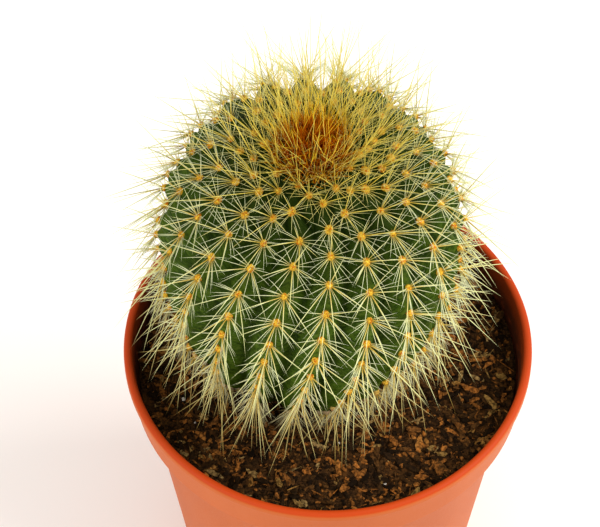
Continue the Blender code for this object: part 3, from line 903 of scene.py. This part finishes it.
crumb = (tree.grain(here, 0.0026, 4.0, 0.65) - 0.5) * 3.0 * tree.given["Crumb"]
clod = 0.5 - tree.add("ShaderNodeTexVoronoi", None, here, Scale=420.0, out="Distance")
clod = clod * tree.given["Crumb"]
lift = tree.vector(0.0, 0.0, (lump + crumb + clod) * (0.25 + 0.75 * from_edge))
tree.end(tree.smooth(tree.move(tree.given["Geometry"], by=lift, where=z > SOIL_LEVEL - 0.0001)))

bench = Finish("potting_soil")
place = bench.place()
coarse = bench.grain(place, 0.004, 4.0, 0.6)
fine = bench.grain(place, 0.0009, 4.0, 0.7)
tone = bench.blend(fine.ramp(0.35, 0.65), (0.004, 0.002, 0.001), (0.056, 0.024, 0.007))
tone = bench.blend(coarse.ramp(0.5, 0.7) * 0.5, tone, (0.11, 0.042, 0.009))
tone = bench.blend(fine.ramp(0.66, 0.8) * 0.6, tone, (0.19, 0.075, 0.018))
soil_crumb = bench.made(Base_Color=tone, Specular_IOR_Level=0.05, Roughness=0.95,
                        Normal=bench.bump(0.9, 0.0006, fine))
soil = tree.grow("potting_soil", soil_crumb, block.data)
soil_top = soil.data  # before the hollow is cut
bpy.data.objects.remove(block)
turns = [math.radians(step) for step in range(110, 180, 5)]
hollow_profile = [(0.0, -BODY_DROP * 0.3)]
hollow_profile += [(BODY_RADIUS * math.sin(turn) + GAP, BODY_DROP * math.cos(turn)) for turn in turns]
hollow_profile += [(0.0, -BODY_DROP - GAP)]
hollow = turned("hollow", hollow_profile, 96)
hollow.data.transform(BODY_PLACE)
cut(soil, hollow)
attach(soil, "root")
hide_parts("soil")

# ---- loose bits on the soil -----------------------------------------------------------------
# What lies on the peat: dark crumbs, rust-brown and olive chips of bark, strands of peat, and a
# few white grains of perlite. They are loose and rest on the surface.
LOWEST_BIT = 0.006  # least height of a bit's place, under the soil's level
EDGE_ROOM = 0.0016  # kept free of bits next to the wall
BIT_COLOURS = ((0.0, (0.005, 0.003, 0.001)), (0.34, (0.030, 0.014, 0.004)), (0.52, (0.110, 0.046, 0.011)),
               (0.78, (0.38, 0.130, 0.022)), (0.90, (0.28, 0.15, 0.035)), (1.0, (0.32, 0.20, 0.07)))
foot_centre = BODY_PLACE @ Vector((0.0, 0.0, SOIL_LEVEL - BODY_WAIST.z))
foot_radius = BODY_RADIUS * math.sqrt(1 - ((BODY_WAIST.z - SOIL_LEVEL) / BODY_DROP) ** 2)


def strew(name, material, **sizes):
    """Rough bits that are strewn over the top of the soil, outside the plant's foot."""
    tree = Tree(name, **{
        "Density": 400000.0, "Size": 0.0008, "Size Scatter": 0.5, "Long": 1.0, "Flat": 0.8,
        "Roughness": 0.5, "Detail": 1, "Lightest": 1.0, "Seed": 71, **sizes})
    given = tree.given
    _, _, up = tree.parts(tree.add("GeometryNodeInputNormal", None, out="Normal"))
    x, y, z = tree.parts(tree.place())
    reach = tree.math("SQRT", x * x + y * y)
    aside, behind = x - foot_centre.x, y - foot_centre.y
    top = (up > 0.3) * (z > SOIL_LEVEL - LOWEST_BIT) * (reach < soil_edge - EDGE_ROOM)
    top = top * (aside * aside + behind * behind > foot_radius ** 2)
    spots = tree.add("GeometryNodeDistributePointsOnFaces", None, given["Geometry"], top,
                     Density=given["Density"], Seed=given["Seed"])
    spots = tree.store(spots, lot=tree.chance(given["Seed"] + 1, 0.0, given["Lightest"]))
    ball = tree.add("GeometryNodeMeshIcoSphere", None, 1.0, given["Detail"], out="Mesh")
    turn = tree.chance(given["Seed"] + 2, (-0.5, -0.5, 0.0), (0.5, 0.5, math.tau))
    wide = given["Size"] * (1.0 + given["Size Scatter"] * tree.chance(given["Seed"] + 3, -1.0, 1.0))
    bits = tree.add("GeometryNodeInstanceOnPoints", None, spots, Instance=ball, Rotation=turn,
                    Scale=tree.vector(wide * given["Long"], wide, wide * given["Flat"]))
    bits = tree.realize(bits)
    rough = tree.grain(tree.place(), 0.0007, out="Color")
    bits = tree.move(bits, by=(rough - 0.5) * given["Size"] * given["Roughness"] * 2.0)
    tree.end(bits)
    return tree.grow(name, material, soil_top)


bench = Finish("soil_bits")
fine = bench.grain(bench.place(), 0.0008, 3.0)
tone = bench.add("ShaderNodeValToRGB", {"stops": BIT_COLOURS}, bench.mark("lot"))
tone = bench.blend(fine.ramp(0.35, 0.65) * 0.75, tone, (0.008, 0.004, 0.002))
bit_finish = bench.made(Base_Color=tone, Specular_IOR_Level=0.05, Roughness=0.9,
                        Normal=bench.bump(0.6, 0.0003, fine))
bench = Finish("perlite")
fine = bench.grain(bench.place(), 0.0005, 3.0)
tone = bench.blend(fine, (0.30, 0.25, 0.19), (0.66, 0.60, 0.52))
perlite_finish = bench.made(Base_Color=tone, Roughness=0.8, Normal=bench.bump(0.6, 0.0003, fine))

crumbs = strew("soil_crumbs", bit_finish, **{
    "Density": 520000.0, "Size": 0.00052, "Long": 1.8, "Flat": 0.6, "Roughness": 1.3, "Lightest": 0.8})
chips = strew("bark_chips", bit_finish, **{
    "Density": 88000.0, "Size": 0.00078, "Long": 3.2, "Flat": 0.40, "Roughness": 1.1, "Detail": 2,
    "Seed": 91})
fibres = strew("peat_fibres", bit_finish, **{
    "Density": 60000.0, "Size": 0.00012, "Long": 22.0, "Flat": 1.0, "Roughness": 5.0, "Detail": 2,
    "Seed": 131})
perlite = strew("perlite_grains", perlite_finish, **{
    "Density": 900.0, "Size": 0.00045, "Roughness": 0.6, "Detail": 2, "Seed": 111})
for bits in (crumbs, chips, fibres, perlite):
    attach(bits, "root")
    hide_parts("soil")
